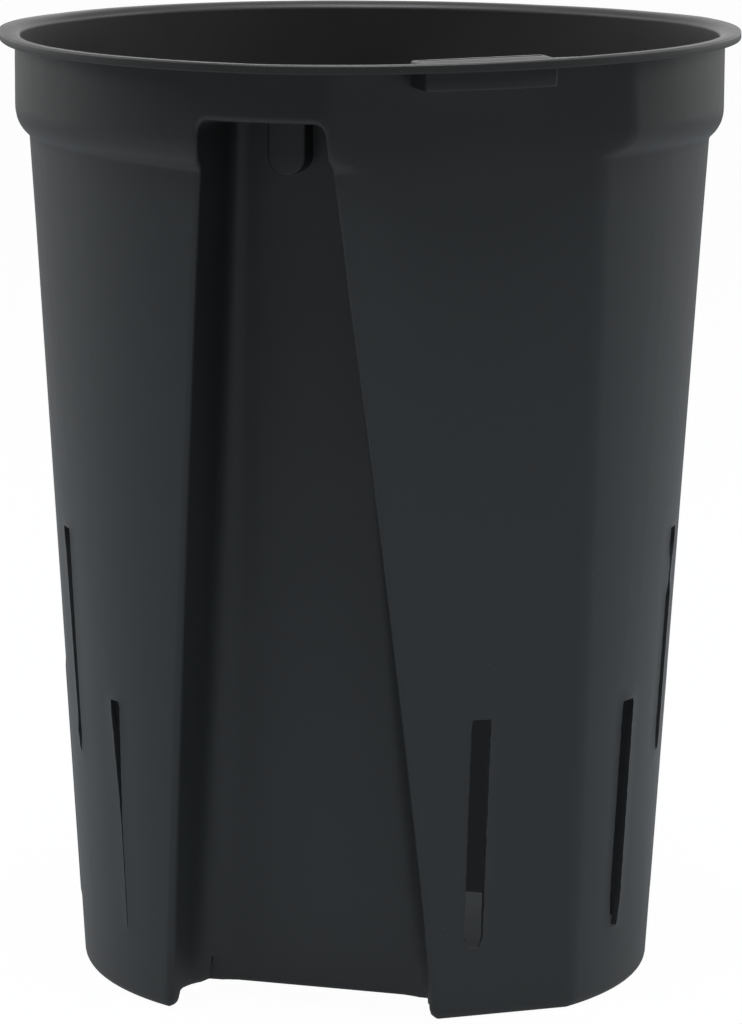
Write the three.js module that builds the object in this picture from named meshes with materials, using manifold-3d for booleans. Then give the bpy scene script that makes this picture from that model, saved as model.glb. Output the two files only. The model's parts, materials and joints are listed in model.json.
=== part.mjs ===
// Deep plastic nursery pot: one thin-walled moulding with a flat rim, a wide collar, two drip
// channels that split the wall into two lobes, a flat label panel, drain slots and a raised floor.
// Millimetres, +Z up. The origin is the centre of the base, and -Y is the front with the first channel.
// The moulding is kept as its named regions, which meet along seams.

import * as THREE from "three";
import { mergeVertices } from "three/addons/utils/BufferGeometryUtils.js";
import Module from "manifold-3d";

const wasm = await Module();
wasm.setup();

// Driving dimensions of the whole pot

const overall_height = 258.9;
const rim_radius = 100;
const wall = 1.4;
const seam = 0.3;
const overrun = 5;
const round_segments = 128;

// Rim and collar: how far the rim overhangs the collar, and the collar the body

const rim_thickness = 2.4;
const rim_edge_round = 0.7;
const rim_overhang = 4.3;
const collar_step = 3.8;
const collar_chamfer_height = 3.3;
const collar_drop = 25.7;

// Body: what its radius loses on the way down from the collar to the base

const body_draft = 14.1;

// Channels: trapezoid recesses, narrow under the collar and wide at the base. Their widths are shares of
// the body's diameter at the same height, and their depth is a share of the base radius.

const channel_azimuth = -17;
const channel_count = 2;
const channel_depth_share = 0.329;
const channel_mouth_top_share = 0.1915;
const channel_mouth_base_share = 0.4923;
const channel_back_top_share = 0.1817;
const channel_back_base_share = 0.41;
const channel_lean = 3.5;
const channel_corner_round_top = 4;
const channel_corner_round_base = 9;
const channel_head_round = 2.5;
const channel_ceiling_drop = 15.3;
const rear_channel_drop = 5;

// Denesting lug under each channel's ceiling

const lug_width = 10.3;
const lug_height = 13.6;
const lug_depth = 6.2;

// Label panel: a flat face cut across one lobe. Its depths below the round wall are shares of the radius
// at the same height, and its node runs on past its crease by a margin.

const panel_azimuth = 19.3;
const panel_base_depth_share = 0.1;
const panel_top_depth_share = 0.072;
const panel_margin = 2;

// Label pocket: a skirt under the rim in front of the flat panel, open below. Labels slide in through a slit
// in the rim, close to the panel. The offset runs along the panel from its middle.

const pocket_offset = -1.1;
const pocket_width = 35.6;
const pocket_height = 4.6;
const pocket_setback = 1.3;
const pocket_skin = 1;
const slit_width = 1.3;
const slit_gap = 0.5;

// Drain slots, in two staggered rows on each lobe

const slot_width = 6.2;
const lower_slot_count = 4;
const lower_slot_foot = 20;
const lower_slot_head = 83.6;
const upper_slot_foot = 64.5;
const upper_slot_head = 127;
const first_slot_angle = 40.5;
const slot_pitch_angle = 34.2;

// Floor and feet

const floor_height = 4.5;
const floor_thickness = 1.5;
const foot_width = 5;
const foot_round = 2.3;
const drain_hole_radius = 5;
const lobe_hole_inset = 19.8;
const centre_hole_distance = 24;
const centre_hole_count = 4;

// Sizes worked out from the ones above

const rim_underside = overall_height - rim_thickness;
const body_top_height = overall_height - collar_drop;
const channel_ceiling_height = overall_height - channel_ceiling_drop;
const ceiling_top = channel_ceiling_height + wall;
const collar_radius = rim_radius - rim_overhang;
const body_top_radius = collar_radius - collar_step;
const body_base_radius = body_top_radius - body_draft;
const channel_depth = body_base_radius * channel_depth_share;
const channel_mouth_top = 2 * body_top_radius * channel_mouth_top_share;
const channel_mouth_base = 2 * body_base_radius * channel_mouth_base_share;
const channel_back_top = 2 * body_top_radius * channel_back_top_share;
const channel_back_base = 2 * body_base_radius * channel_back_base_share;
const panel_top_distance = body_top_radius * (1 - panel_top_depth_share);
const panel_base_distance = body_base_radius * (1 - panel_base_depth_share);
const panel_half_width = Math.sqrt(body_base_radius ** 2 - panel_base_distance ** 2) + panel_margin;
const lobe_hole_distance = body_base_radius - lobe_hole_inset;
const collar_inner_radius = collar_radius - wall;
const body_taper = body_draft / body_top_height;
const panel_taper = (panel_top_distance - panel_base_distance) / body_top_height;
const chamfer_slope = collar_step / collar_chamfer_height;
const reach = rim_radius + overrun;
const degree = Math.PI / 180;

const bodyRadius = (z) => body_base_radius + body_taper * z;
const panelDistance = (z) => panel_base_distance + panel_taper * z;
const between = (base, top, z) => base + ((top - base) * z) / body_top_height;
const cornerRound = (z) => between(channel_corner_round_base, channel_corner_round_top, z);

// Places: azimuth 0 looks out along -Y and turns towards +X. u runs along the wall, v away from the axis.

function place(azimuth, u, v, z) {
  const a = azimuth * degree;
  return new THREE.Vector3(u * Math.cos(a) + v * Math.sin(a), u * Math.sin(a) - v * Math.cos(a), z);
}

function wallFrame(azimuth) {
  const a = azimuth * degree;
  const along = new THREE.Vector3(Math.cos(a), Math.sin(a), 0);
  const up = new THREE.Vector3(0, 0, 1);
  const out = new THREE.Vector3(Math.sin(a), -Math.cos(a), 0);
  return new THREE.Matrix4().makeBasis(along, up, out);
}

// Solids from closed geometry, and back

function solidFrom(geometry) {
  const bare = geometry.index ? geometry.toNonIndexed() : geometry.clone();
  bare.deleteAttribute("normal");
  bare.deleteAttribute("uv");
  const merged = mergeVertices(bare);
  const vertProperties = new Float32Array(merged.attributes.position.array);
  const triVerts = new Uint32Array(merged.index.array);
  return new wasm.Manifold(new wasm.Mesh({ numProp: 3, vertProperties, triVerts }));
}

function geometryFrom(solid) {
  const mesh = solid.getMesh();
  const geometry = new THREE.BufferGeometry();
  geometry.setAttribute("position", new THREE.BufferAttribute(mesh.vertProperties, 3));
  geometry.setIndex(new THREE.BufferAttribute(mesh.triVerts, 1));
  geometry.computeVertexNormals();
  return geometry;
}

// A solid turned from a profile of [radius, height] points that starts and ends on the axis or closes

function turned(profile) {
  const points = profile.map(([radius, height]) => new THREE.Vector2(radius, height));
  const geometry = new THREE.LatheGeometry(points, round_segments);
  geometry.rotateX(Math.PI / 2);
  return solidFrom(geometry);
}

// A solid lofted through level outlines with the same number of points, from the lowest up

function loft(outlines) {
  const count = outlines[0].length;
  const flat = outlines[0].map((point) => new THREE.Vector2(point.x, point.y));
  const rings = THREE.ShapeUtils.isClockWise(flat) ? outlines.map((ring) => [...ring].reverse()) : outlines;
  const positions = rings.flat().flatMap((point) => [point.x, point.y, point.z]);
  const faces = [];
  const cap = (ring) => THREE.ShapeUtils.triangulateShape(
    ring.map((point) => new THREE.Vector2(point.x, point.y)), []);
  for (const [a, b, c] of cap(rings[0])) {
    faces.push(c, b, a);
  }
  for (let level = 0; level + 1 < rings.length; level += 1) {
    for (let i = 0; i < count; i += 1) {
      const low = level * count + i;
      const lowNext = level * count + ((i + 1) % count);
      faces.push(low, lowNext, lowNext + count, low, lowNext + count, low + count);
    }
  }
  const top = (rings.length - 1) * count;
  for (const [a, b, c] of cap(rings[rings.length - 1])) {
    faces.push(top + a, top + b, top + c);
  }
  const geometry = new THREE.BufferGeometry();
  geometry.setAttribute("position", new THREE.Float32BufferAttribute(positions, 3));
  geometry.setIndex(faces);
  return solidFrom(geometry);
}

// A block whose v limits may change with height, at an azimuth

function block(azimuth, u, v, heights) {
  return loft(heights.map((z) => {
    const [near, far] = v(z);
    return [place(azimuth, u[0], near, z), place(azimuth, u[1], near, z),
      place(azimuth, u[1], far, z), place(azimuth, u[0], far, z)];
  }));
}

// A slab between two heights that covers the whole pot

function slab(low, high) {
  return block(0, [-reach, reach], () => [-reach, reach], [low, high]);
}

// A wedge of the plan from one azimuth to another, held back from both of its sides by an inset

function wedge(from, to, low, high, inset) {
  const middle = (from + to) / 2;
  const half = ((to - from) / 2) * degree;
  const start = inset / Math.sin(half);
  const far = reach / Math.cos(half / 2);
  const outline = (z) => [
    place(middle, 0, start, z),
    place(middle, -far * Math.sin(half), start + far * Math.cos(half), z),
    place(middle, -far * Math.sin(half / 2), start + far * Math.cos(half / 2), z),
    place(middle, 0, start + far, z),
    place(middle, far * Math.sin(half / 2), start + far * Math.cos(half / 2), z),
    place(middle, far * Math.sin(half), start + far * Math.cos(half), z),
  ];
  return loft([outline(low), outline(high)]);
}

// The heights at which a quarter round of a radius is drawn, and how far it stands in at each

const round_shares = [0, 0.12, 0.38, 1];

function roundInset(radius, rise) {
  return rise < radius ? radius - Math.sqrt(radius * radius - (radius - rise) ** 2) : 0;
}

// The body's outside, or its inside where it is drawn in by a wall's thickness

function coneProfile(inset, low, high) {
  return [[0, low], [bodyRadius(low) - inset, low], [bodyRadius(high) - inset, high], [0, high]];
}

function panelCut(inset, low, high) {
  return block(panel_azimuth, [-reach, reach], (z) => [panelDistance(z) - inset, reach + overrun], [low, high]);
}

function collarPlug(inset) {
  const slopeLength = Math.hypot(1, chamfer_slope);
  const chamfer_top = body_top_height + collar_chamfer_height;
  const coneRadius = (z) => collar_radius - chamfer_slope * (chamfer_top - z) - inset * slopeLength;
  const radius = collar_radius - inset;
  const meet = chamfer_top - (collar_radius - radius - inset * slopeLength) / chamfer_slope;
  const low = meet - (radius - panelDistance(0)) / chamfer_slope;
  const high = ceiling_top + (inset > 0 ? overrun : 0);
  return turned([[0, low], [coneRadius(low), low], [radius, meet], [radius, high], [0, high]]);
}

function bodySolid(inset, low, high) {
  return turned(coneProfile(inset, low, high)).add(collarPlug(inset))
    .subtract(panelCut(inset, low - overrun, high + overrun));
}

// A channel's plan outline at a height, grown outwards by a wall's thickness where asked

function channelOutline(azimuth, z, grow, headInset) {
  const back = bodyRadius(z) - channel_depth - grow;
  const centre = channel_lean * (1 - z / body_top_height);
  const backHalf = between(channel_back_base, channel_back_top, z) / 2 - headInset;
  const mouthHalf = between(channel_mouth_base, channel_mouth_top, z) / 2 - headInset;
  const flare = (mouthHalf - backHalf) / channel_depth;
  const stretch = Math.hypot(1, flare);
  const corner = backHalf + grow * (stretch - flare);
  const round = cornerRound(z) + grow;
  const flareAngle = Math.atan(flare);
  const tangent = round * Math.tan((Math.PI / 2 - flareAngle) / 2);
  const far = reach + overrun;
  const mouth = corner + flare * (far - back);
  const right = [];
  const steps = 4;
  for (let i = 0; i <= steps; i += 1) {
    const a = -Math.PI / 2 + ((Math.PI / 2 - flareAngle) * i) / steps;
    right.push([corner - tangent + round * Math.cos(a), back + round + round * Math.sin(a)]);
  }
  right.push([mouth, far]);
  const left = right.map(([u, v]) => [-u, v]).reverse();
  return [...left, ...right].map(([u, v]) => place(azimuth, centre + u, v, z));
}

function channelSolid(azimuth, grow, low, high) {
  const levels = [low, ...round_shares.map((share) => high - channel_head_round * (1 - share))];
  return loft(levels.map((z) => channelOutline(azimuth, z, grow, roundInset(channel_head_round, high - z))));
}

const channelAzimuths = Array.from({ length: channel_count }, (_, i) => channel_azimuth + (360 / channel_count) * i);
const channelCeilings = channelAzimuths.map((_, i) => channel_ceiling_height - rear_channel_drop * i);

function withoutChannels(solid, grow) {
  return channelAzimuths.reduce(
    (rest, azimuth, i) => rest.subtract(channelSolid(azimuth, grow, -overrun, channelCeilings[i] + wall)), solid);
}

// Drain slots: a lower row on each lobe and an upper row between them, none above the label panel

function slotSolid(azimuth, low, high) {
  return block(azimuth, [-slot_width / 2, slot_width / 2],
    (z) => [bodyRadius(z) - channel_depth, bodyRadius(z) + overrun], [low, high]);
}

const lowerSlotAngles = Array.from({ length: lower_slot_count }, (_, i) => first_slot_angle + slot_pitch_angle * i);
const upperSlotAngles = lowerSlotAngles.slice(1).map((angle) => angle - slot_pitch_angle / 2);

function drainSlots() {
  const slots = [];
  channelAzimuths.forEach((channel, lobe) => {
    const plain = lobe > 0;
    lowerSlotAngles.forEach((angle) => {
      slots.push(slotSolid(channel + angle, lower_slot_foot, lower_slot_head));
    });
    upperSlotAngles.filter((angle, i) => plain || i > 0).forEach((angle) => {
      slots.push(slotSolid(channel + angle, upper_slot_foot, upper_slot_head));
    });
  });
  return slots;
}

// The walls of both lobes as one shell, ready to be parted into panels

function lobeShell() {
  const outside = bodySolid(0, 0, ceiling_top).intersect(slab(floor_height, ceiling_top - seam));
  const hollow = bodySolid(wall, -overrun, ceiling_top + overrun);
  const shell = withoutChannels(outside.subtract(hollow), wall + seam);
  return drainSlots().reduce((rest, slot) => rest.subtract(slot), shell);
}

// Parts of a lobe: seams run between the slots, and the label panel ends past its own crease

function lobePanels(shell) {
  const panels = [];
  const half_lobe = 180 / channel_count;
  channelAzimuths.forEach((channel, lobe) => {
    const labelled = lobe === 0;
    const seams = upperSlotAngles.map((angle) => channel + angle - slot_pitch_angle / 4);
    const bounds = [channel, ...seams, channel + 2 * half_lobe];
    for (let i = 0; i + 1 < bounds.length; i += 1) {
      const from = labelled && i === 1 ? bounds[0] : bounds[i];
      const to = labelled && i === 0 ? bounds[2] : bounds[i + 1];
      let panel = shell.intersect(wedge(from, to, 0, ceiling_top, seam / 2));
      const flat = (limit) => block(panel_azimuth, [-reach, limit], () => [0, reach + overrun],
        [-overrun, ceiling_top + overrun]);
      if (labelled && i === 0) {
        panel = panel.intersect(flat(panel_half_width - seam / 2));
      }
      if (labelled && i === 1) {
        panel = panel.subtract(flat(panel_half_width + seam / 2));
      }
      const name = labelled ? (i === 0 ? "label_panel" : `label_lobe_wall_${i}`) : `plain_lobe_wall_${i + 1}`;
      panels.push([name, panel]);
    }
  });
  return panels;
}

// One channel: its back wall with both rounded corners, its two side walls, its ceiling and its lug

function channelParts(azimuth, ceiling, name) {
  const outside = bodySolid(0, 0, ceiling_top);
  const grown = channelSolid(azimuth, wall, -overrun, ceiling + wall);
  const hollow = channelSolid(azimuth, 0, -overrun, ceiling);
  const liner = grown.subtract(hollow).intersect(outside).intersect(slab(floor_height, ceiling - seam));
  const heights = [-overrun, ceiling_top + overrun];
  const split = (z) => bodyRadius(z) - channel_depth + cornerRound(z);
  const back = liner.intersect(block(azimuth, [-reach, reach], (z) => [0, split(z)], heights));
  const sides = liner.subtract(block(azimuth, [-reach, reach], (z) => [0, split(z) + seam], heights));
  const rightHalf = block(azimuth, [0, reach], () => [0, reach + overrun], heights);
  const lid = grown.intersect(outside).intersect(slab(ceiling, ceiling + wall - seam));
  return [
    [`${name}_back`, back],
    [`${name}_left_side`, sides.subtract(rightHalf)],
    [`${name}_right_side`, sides.intersect(rightHalf)],
    [`${name}_ceiling`, lid],
    [`${name}_denesting_lug`, lugSolid(azimuth, ceiling)],
  ];
}

function lugSolid(azimuth, ceiling) {
  const half = lug_width / 2;
  const head = ceiling + overrun;
  const turn = ceiling - lug_height + half;
  const shape = new THREE.Shape();
  shape.moveTo(half, head);
  shape.lineTo(-half, head);
  shape.lineTo(-half, turn);
  shape.absarc(0, turn, half, Math.PI, 2 * Math.PI, false);
  shape.closePath();
  const face = bodyRadius(ceiling) - channel_depth + lug_depth;
  const geometry = new THREE.ExtrudeGeometry(shape, { depth: face, bevelEnabled: false, curveSegments: 12 });
  geometry.applyMatrix4(wallFrame(azimuth));
  return solidFrom(geometry).intersect(channelSolid(azimuth, -seam, -overrun, ceiling - seam));
}

// Collar band: the ring above the channels, flat where the label panel runs up through it

function disc(radius, low, high) {
  return turned([[0, low], [radius, low], [radius, high], [0, high]]);
}

function flattened(solid, inset, low, high) {
  return solid.subtract(panelCut(inset, low - overrun, high + overrun));
}

function collarBand() {
  const low = ceiling_top;
  const high = rim_underside - seam;
  const outside = flattened(disc(collar_radius, low, high), 0, low, high);
  const hollow = disc(collar_inner_radius, low - overrun, high + overrun);
  return outside.subtract(flattened(hollow, wall, low - overrun, high + overrun));
}

// The plan of the label pocket, drawn in by an inset and rounded like the rim in front

function pocketSpace(inset, low, high) {
  const half = pocket_width / 2 - inset;
  const run = [pocket_offset - half, pocket_offset + half];
  return block(panel_azimuth, run, () => [0, reach], [low, high])
    .intersect(disc(rim_radius - pocket_setback - inset, low, high));
}

// Rim: a flat ring with rounded outer edges. A thinner web carries it across to the flat panel, at full
// thickness over the label pocket, where the slit is.

function labelSlit() {
  const half = pocket_width / 2 - pocket_skin;
  const near = panelDistance(rim_underside) + slit_gap;
  return block(panel_azimuth, [pocket_offset - half, pocket_offset + half], () => [near, near + slit_width],
    [rim_underside - overrun, overall_height + overrun]);
}

function rimFlange() {
  const inset = rim_edge_round;
  const web_top = rim_underside + wall;
  const ring = turned([[collar_inner_radius, rim_underside], [rim_radius - inset, rim_underside],
    [rim_radius, rim_underside + inset], [rim_radius, overall_height - inset],
    [rim_radius - inset, overall_height], [collar_inner_radius, overall_height],
    [collar_inner_radius, rim_underside]]);
  const web = disc(collar_radius, rim_underside, web_top).intersect(panelCut(wall, rim_underside, web_top));
  const boss = pocketSpace(0, rim_underside, overall_height)
    .intersect(panelCut(wall, rim_underside, overall_height));
  return ring.add(web).add(boss).subtract(labelSlit());
}

function labelPocket() {
  const high = rim_underside - seam;
  const low = high - pocket_height;
  const clear = panelCut(-seam, low - overrun, high + overrun);
  return pocketSpace(0, low, high).intersect(clear)
    .subtract(pocketSpace(pocket_skin, low - overrun, high + overrun));
}

// Floor: a raised plate inside the walls, with drain holes

function holeSolid(azimuth, distance) {
  const geometry = new THREE.CylinderGeometry(drain_hole_radius, drain_hole_radius, 2 * overrun, 24);
  geometry.rotateX(Math.PI / 2);
  const centre = place(azimuth, 0, distance, floor_height);
  geometry.translate(centre.x, centre.y, centre.z);
  return solidFrom(geometry);
}

function floorPlate() {
  const plate = bodySolid(wall + seam, -overrun, ceiling_top).intersect(
    slab(floor_height, floor_height + floor_thickness));
  const holes = channelAzimuths.flatMap((channel) => lowerSlotAngles.map(
    (angle) => holeSolid(channel + angle, lobe_hole_distance)));
  for (let i = 0; i < centre_hole_count; i += 1) {
    holes.push(holeSolid(channel_azimuth + (360 / centre_hole_count) * i, centre_hole_distance));
  }
  return holes.reduce((rest, hole) => rest.subtract(hole),
    withoutChannels(plate, wall + seam));
}

// Feet: a bead under each lobe that lifts the floor, with its outer edge rounded

function footBeads() {
  const levels = round_shares.map((share) => share * foot_round);
  const high = floor_height - seam;
  const stand = (z) => roundInset(foot_round, z);
  const outside = turned([[0, 0], ...levels.map((z) => [bodyRadius(z) - stand(z), z]),
    [bodyRadius(high), high], [0, high]]);
  const flat = block(panel_azimuth, [-reach, reach], (z) => [panelDistance(z) - stand(z), reach + overrun],
    [...levels, high + overrun]);
  const hollow = turned(coneProfile(foot_width, -overrun, floor_height)).subtract(
    panelCut(foot_width, -2 * overrun, floor_height + overrun));
  return withoutChannels(outside.subtract(flat).subtract(hollow), 0);
}

// The assembly

const plastic = { color: 0x2c3134, roughness: 0.55, metalness: 0 };
const group = new THREE.Group();

function addRegion(name, solid) {
  const mesh = new THREE.Mesh(geometryFrom(solid), new THREE.MeshStandardMaterial(plastic));
  mesh.name = name;
  group.add(mesh);
}

addRegion("rim_flange", rimFlange());
addRegion("collar_band", collarBand());
addRegion("label_pocket", labelPocket());
for (const [name, panel] of lobePanels(lobeShell())) {
  addRegion(name, panel);
}
channelAzimuths.forEach((azimuth, i) => {
  const name = i === 0 ? "front_channel" : "rear_channel";
  for (const [node, solid] of channelParts(azimuth, channelCeilings[i], name)) {
    addRegion(node, solid);
  }
});
addRegion("floor", floorPlate());
const beads = footBeads();
channelAzimuths.forEach((azimuth, i) => {
  const lobe = wedge(azimuth, azimuth + 90, -overrun, floor_height, 0)
    .add(wedge(azimuth + 90, azimuth + 180, -overrun, floor_height, 0));
  addRegion(i === 0 ? "label_lobe_foot" : "plain_lobe_foot", beads.intersect(lobe));
});

export default group;
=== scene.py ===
# %% [markdown]
# # A deep nursery pot in black polypropylene
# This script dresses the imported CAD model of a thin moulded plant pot. The real pot is one moulding,
# so its looks come from one continuous skin: crisp rolled edges, an even wall and no joints.
# The CAD frame is loaded first, and everything below is made in its place.

# %% Load the CAD frame
import json
import math
import bmesh
import bpy
import numpy as np
from mathutils import Euler, Matrix, Vector


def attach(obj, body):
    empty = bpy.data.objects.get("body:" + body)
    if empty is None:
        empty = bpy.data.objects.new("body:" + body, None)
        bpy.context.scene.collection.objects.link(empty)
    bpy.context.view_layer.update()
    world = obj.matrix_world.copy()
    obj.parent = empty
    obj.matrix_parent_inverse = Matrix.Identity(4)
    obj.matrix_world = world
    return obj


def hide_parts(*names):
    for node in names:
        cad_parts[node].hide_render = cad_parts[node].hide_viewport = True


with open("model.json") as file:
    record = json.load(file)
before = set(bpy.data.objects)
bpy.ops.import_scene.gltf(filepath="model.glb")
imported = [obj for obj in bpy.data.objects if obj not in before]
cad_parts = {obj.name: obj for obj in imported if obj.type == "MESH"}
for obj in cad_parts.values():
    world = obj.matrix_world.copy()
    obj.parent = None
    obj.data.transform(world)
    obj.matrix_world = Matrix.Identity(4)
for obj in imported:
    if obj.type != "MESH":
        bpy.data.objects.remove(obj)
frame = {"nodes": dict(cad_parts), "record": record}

bpy.context.evaluated_depsgraph_get().update()
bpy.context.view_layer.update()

# %% [markdown]
# ## Sizes
# The sizes are those of the CAD source, in millimetres, because a mould is drawn in millimetres.
# One factor turns them into metres where a mesh is made. Azimuth 0 looks out along -Y, to the front, and
# turns towards +X.

# %% Sizes of the pot
MM = 0.001

RIM_TOP = 258.9
RIM_THICKNESS = 2.4
RIM_RADIUS = 100.0
RIM_UNDERSIDE = RIM_TOP - RIM_THICKNESS
WALL = 1.4

BODY_BASE_RADIUS = 77.8
BODY_TOP_RADIUS = 91.9
BODY_TOP_HEIGHT = 233.2
COLLAR_RADIUS = 95.7
CHAMFER_HEIGHT = 3.3
CHAMFER_TOP = BODY_TOP_HEIGHT + CHAMFER_HEIGHT
CHAMFER_SLOPE = (COLLAR_RADIUS - BODY_TOP_RADIUS) / CHAMFER_HEIGHT

CHANNEL_AZIMUTHS = (-17.0, 163.0)
CHANNEL_DEPTH = 25.6
CHANNEL_MOUTH = (76.6, 35.2)
CHANNEL_BACK = (63.8, 33.4)
CHANNEL_CORNER = (9.0, 4.0)
CHANNEL_LEAN = 3.5
CHANNEL_CEILING = 243.6
REAR_CHANNEL_DROP = 5.0

PANEL_AZIMUTH = 19.3
PANEL_DISTANCE = (70.0, 85.3)

FLOOR_UNDERSIDE = 4.5
FOOT_WIDTH = 5.0

SLOT_WIDTH = 6.2
LOWER_SLOTS = (20.0, 83.6)
UPPER_SLOTS = (64.6, 127.0)
FIRST_SLOT = 40.5
SLOT_PITCH = 34.2

# %% [markdown]
# ## The mould as a field
# A moulded shape has a rolled edge wherever two faces meet. The clearest way to get every one of them is to
# write the pot as a signed distance: how far a point is outside the plastic. Faces are plain distances, and
# two faces meet through a rounded "and" or a rounded "or", which leaves a fillet of the given radius.
# The mesh is then laid out roughly and pressed onto the field, as plastic is pressed onto a mould.

# %% Rounded and, or, and cut
def rounded_and(a, b, radius):
    """The overlap of two shapes, with the edge between them rolled."""
    rolled = np.hypot(np.maximum(a + radius, 0.0), np.maximum(b + radius, 0.0))
    return np.minimum(-radius, np.maximum(a, b)) + rolled


def rounded_or(a, b, radius):
    return -rounded_and(-a, -b, radius)


def rounded_cut(a, b, radius):
    return rounded_and(a, -b, radius)


# %% Straight tapers with height
def by_height(ends, z):
    return ends[0] + (ends[1] - ends[0]) * z / BODY_TOP_HEIGHT


def body_radius(z):
    return by_height((BODY_BASE_RADIUS, BODY_TOP_RADIUS), z)


def panel_distance(z):
    return by_height(PANEL_DISTANCE, z)


def chamfer_radius(z):
    return COLLAR_RADIUS - CHAMFER_SLOPE * (CHAMFER_TOP - z)


def outer_radius(z):
    return np.maximum(body_radius(z), np.minimum(COLLAR_RADIUS, chamfer_radius(z)))


def ceiling_of(channel):
    return CHANNEL_CEILING - (REAR_CHANNEL_DROP if channel == CHANNEL_AZIMUTHS[1] else 0.0)


# %% The field of the lobes, before the channels are cut
BODY_SLOPE = (BODY_TOP_RADIUS - BODY_BASE_RADIUS) / BODY_TOP_HEIGHT
PANEL_CREASE = 1.0
COLLAR_ROLL = 2.8
COLLAR_FILLET = 0.4
MOUTH_ROLL = (2.1, 1.5)
HEAD_ROUND = 2.6
FOOT_ROLL = 3.3
UNDERSIDE_ROLL = 1.4


def along_and_out(x, y, azimuth):
    """The distance across an azimuth's direction, and the one out along it."""
    a = math.radians(azimuth)
    return x * math.cos(a) + y * math.sin(a), x * math.sin(a) - y * math.cos(a)


def lobe_field(x, y, z):
    radius = np.hypot(x, y)
    cone = (radius - body_radius(z)) / math.hypot(1.0, BODY_SLOPE)
    underside = (radius - chamfer_radius(z)) / math.hypot(1.0, CHAMFER_SLOPE)
    collar = rounded_and(radius - COLLAR_RADIUS, underside, COLLAR_ROLL)
    out = along_and_out(x, y, PANEL_AZIMUTH)[1]
    return rounded_and(rounded_or(cone, collar, COLLAR_FILLET), out - panel_distance(z), PANEL_CREASE)


# %% The field of one channel, and of the whole outside
def channel_shape(z):
    back = body_radius(z) - CHANNEL_DEPTH
    centre = CHANNEL_LEAN * (1.0 - z / BODY_TOP_HEIGHT)
    back_half = by_height(CHANNEL_BACK, z) / 2.0
    flare = (by_height(CHANNEL_MOUTH, z) / 2.0 - back_half) / CHANNEL_DEPTH
    return back, centre, back_half, flare


def channel_field(x, y, z, azimuth):
    u, v = along_and_out(x, y, azimuth)
    back, centre, back_half, flare = channel_shape(z)
    side = (np.abs(u - centre) - back_half - flare * (v - back)) / np.hypot(1.0, flare)
    hollow = rounded_and(side, back - v, by_height(CHANNEL_CORNER, z))
    return rounded_and(hollow, z - ceiling_of(azimuth), HEAD_ROUND)


def pot_field(p):
    x, y, z = p[..., 0], p[..., 1], p[..., 2]
    lobes = lobe_field(x, y, z)
    pot = lobes
    for azimuth in CHANNEL_AZIMUTHS:
        mouth_roll = np.clip(by_height(MOUTH_ROLL, z), MOUTH_ROLL[1], MOUTH_ROLL[0])
        pot = rounded_cut(pot, channel_field(x, y, z, azimuth), mouth_roll)
    pot = rounded_and(pot, -z, FOOT_ROLL)
    recess = rounded_and(lobes + FOOT_WIDTH, z - FLOOR_UNDERSIDE, UNDERSIDE_ROLL)
    return rounded_cut(pot, recess, UNDERSIDE_ROLL)


# %% Pressing points onto the field, down its slope and by short steps
LEAST_SLOPE = 0.25
LONGEST_STEP = 1.5


def slope_of(p, step=0.01):
    slopes = []
    for axis in range(3):
        shift = np.zeros(3)
        shift[axis] = step
        slopes.append((pot_field(p + shift) - pot_field(p - shift)) / (2.0 * step))
    return np.stack(slopes, axis=-1)


def pressed_onto_mould(p, rounds=14):
    for _ in range(rounds):
        slope = slope_of(p)
        length = np.maximum((slope ** 2).sum(axis=-1), LEAST_SLOPE)
        p = p - slope * np.clip(pot_field(p) / length, -LONGEST_STEP, LONGEST_STEP)[..., None]
    return p


# %% [markdown]
# ## The layout of the skin
# The skin is a grid: columns run round the pot and rows run from under the foot to the rim. Columns are
# pinned to what matters, such as the rolled edges of a channel, the crease of the label panel and
# the sides of each slot, and they are close together only there.

# %% Where the lobes end: the edges of each channel's mouth
FACING_PANEL = 0.3
OUT_OF_REACH = 1000.0


def lobe_radius(azimuth, z):
    turn = np.cos(np.radians(azimuth - PANEL_AZIMUTH))
    flat = np.where(turn > FACING_PANEL, panel_distance(z) / np.maximum(turn, FACING_PANEL), OUT_OF_REACH)
    return np.minimum(outer_radius(z), flat)


def mouth_edge(channel, side, z):
    """Where a channel's side meets the lobe: azimuth and place, found by repeated steps."""
    back, centre, back_half, flare = channel_shape(np.minimum(z, CHANNEL_CEILING))
    v = back + CHANNEL_DEPTH
    for _ in range(30):
        u = centre + side * (back_half + flare * (v - back))
        azimuth = channel + np.degrees(np.arctan2(u, v))
        v = np.sqrt(np.maximum(lobe_radius(azimuth, z) ** 2 - u ** 2, 1.0))
    return azimuth, u, v


# %% Rows: heights from the sole to the collar
SKIN_TOP = 256.9
foot_heights = [0.0, 0.25, 0.6, 1.1, 1.7, 2.4, 3.2, 4.0, 4.5, 5.0, 6.0, 8.0, 12.0, 16.0]
slot_heights = list(np.arange(18.0, 130.1, 2.0))
for end in LOWER_SLOTS + UPPER_SLOTS:
    nearest = int(np.argmin([abs(h - end) for h in slot_heights]))
    slot_heights[nearest] = end
tall_heights = list(np.arange(136.0, 222.0, 7.0))
chamfer_heights = list(np.arange(222.0, 241.0, 0.8))
head_heights = [241.2, 241.7, 242.2, 242.7, 243.1, 243.4, 243.6]
heights = foot_heights + slot_heights + tall_heights + chamfer_heights + head_heights
ceiling_shares = [0.03, 0.07, 0.13, 0.22, 0.35, 0.5, 0.68, 0.84, 0.93, 0.97, 1.0]
over_heights = [0.3, 0.6, 1.0, 1.5, 2.1, 3.0, 4.2, 5.6, 7.2, 9.0, 10.8, 12.2]
print("rows:", len(heights), len(ceiling_shares), len(over_heights))

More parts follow.
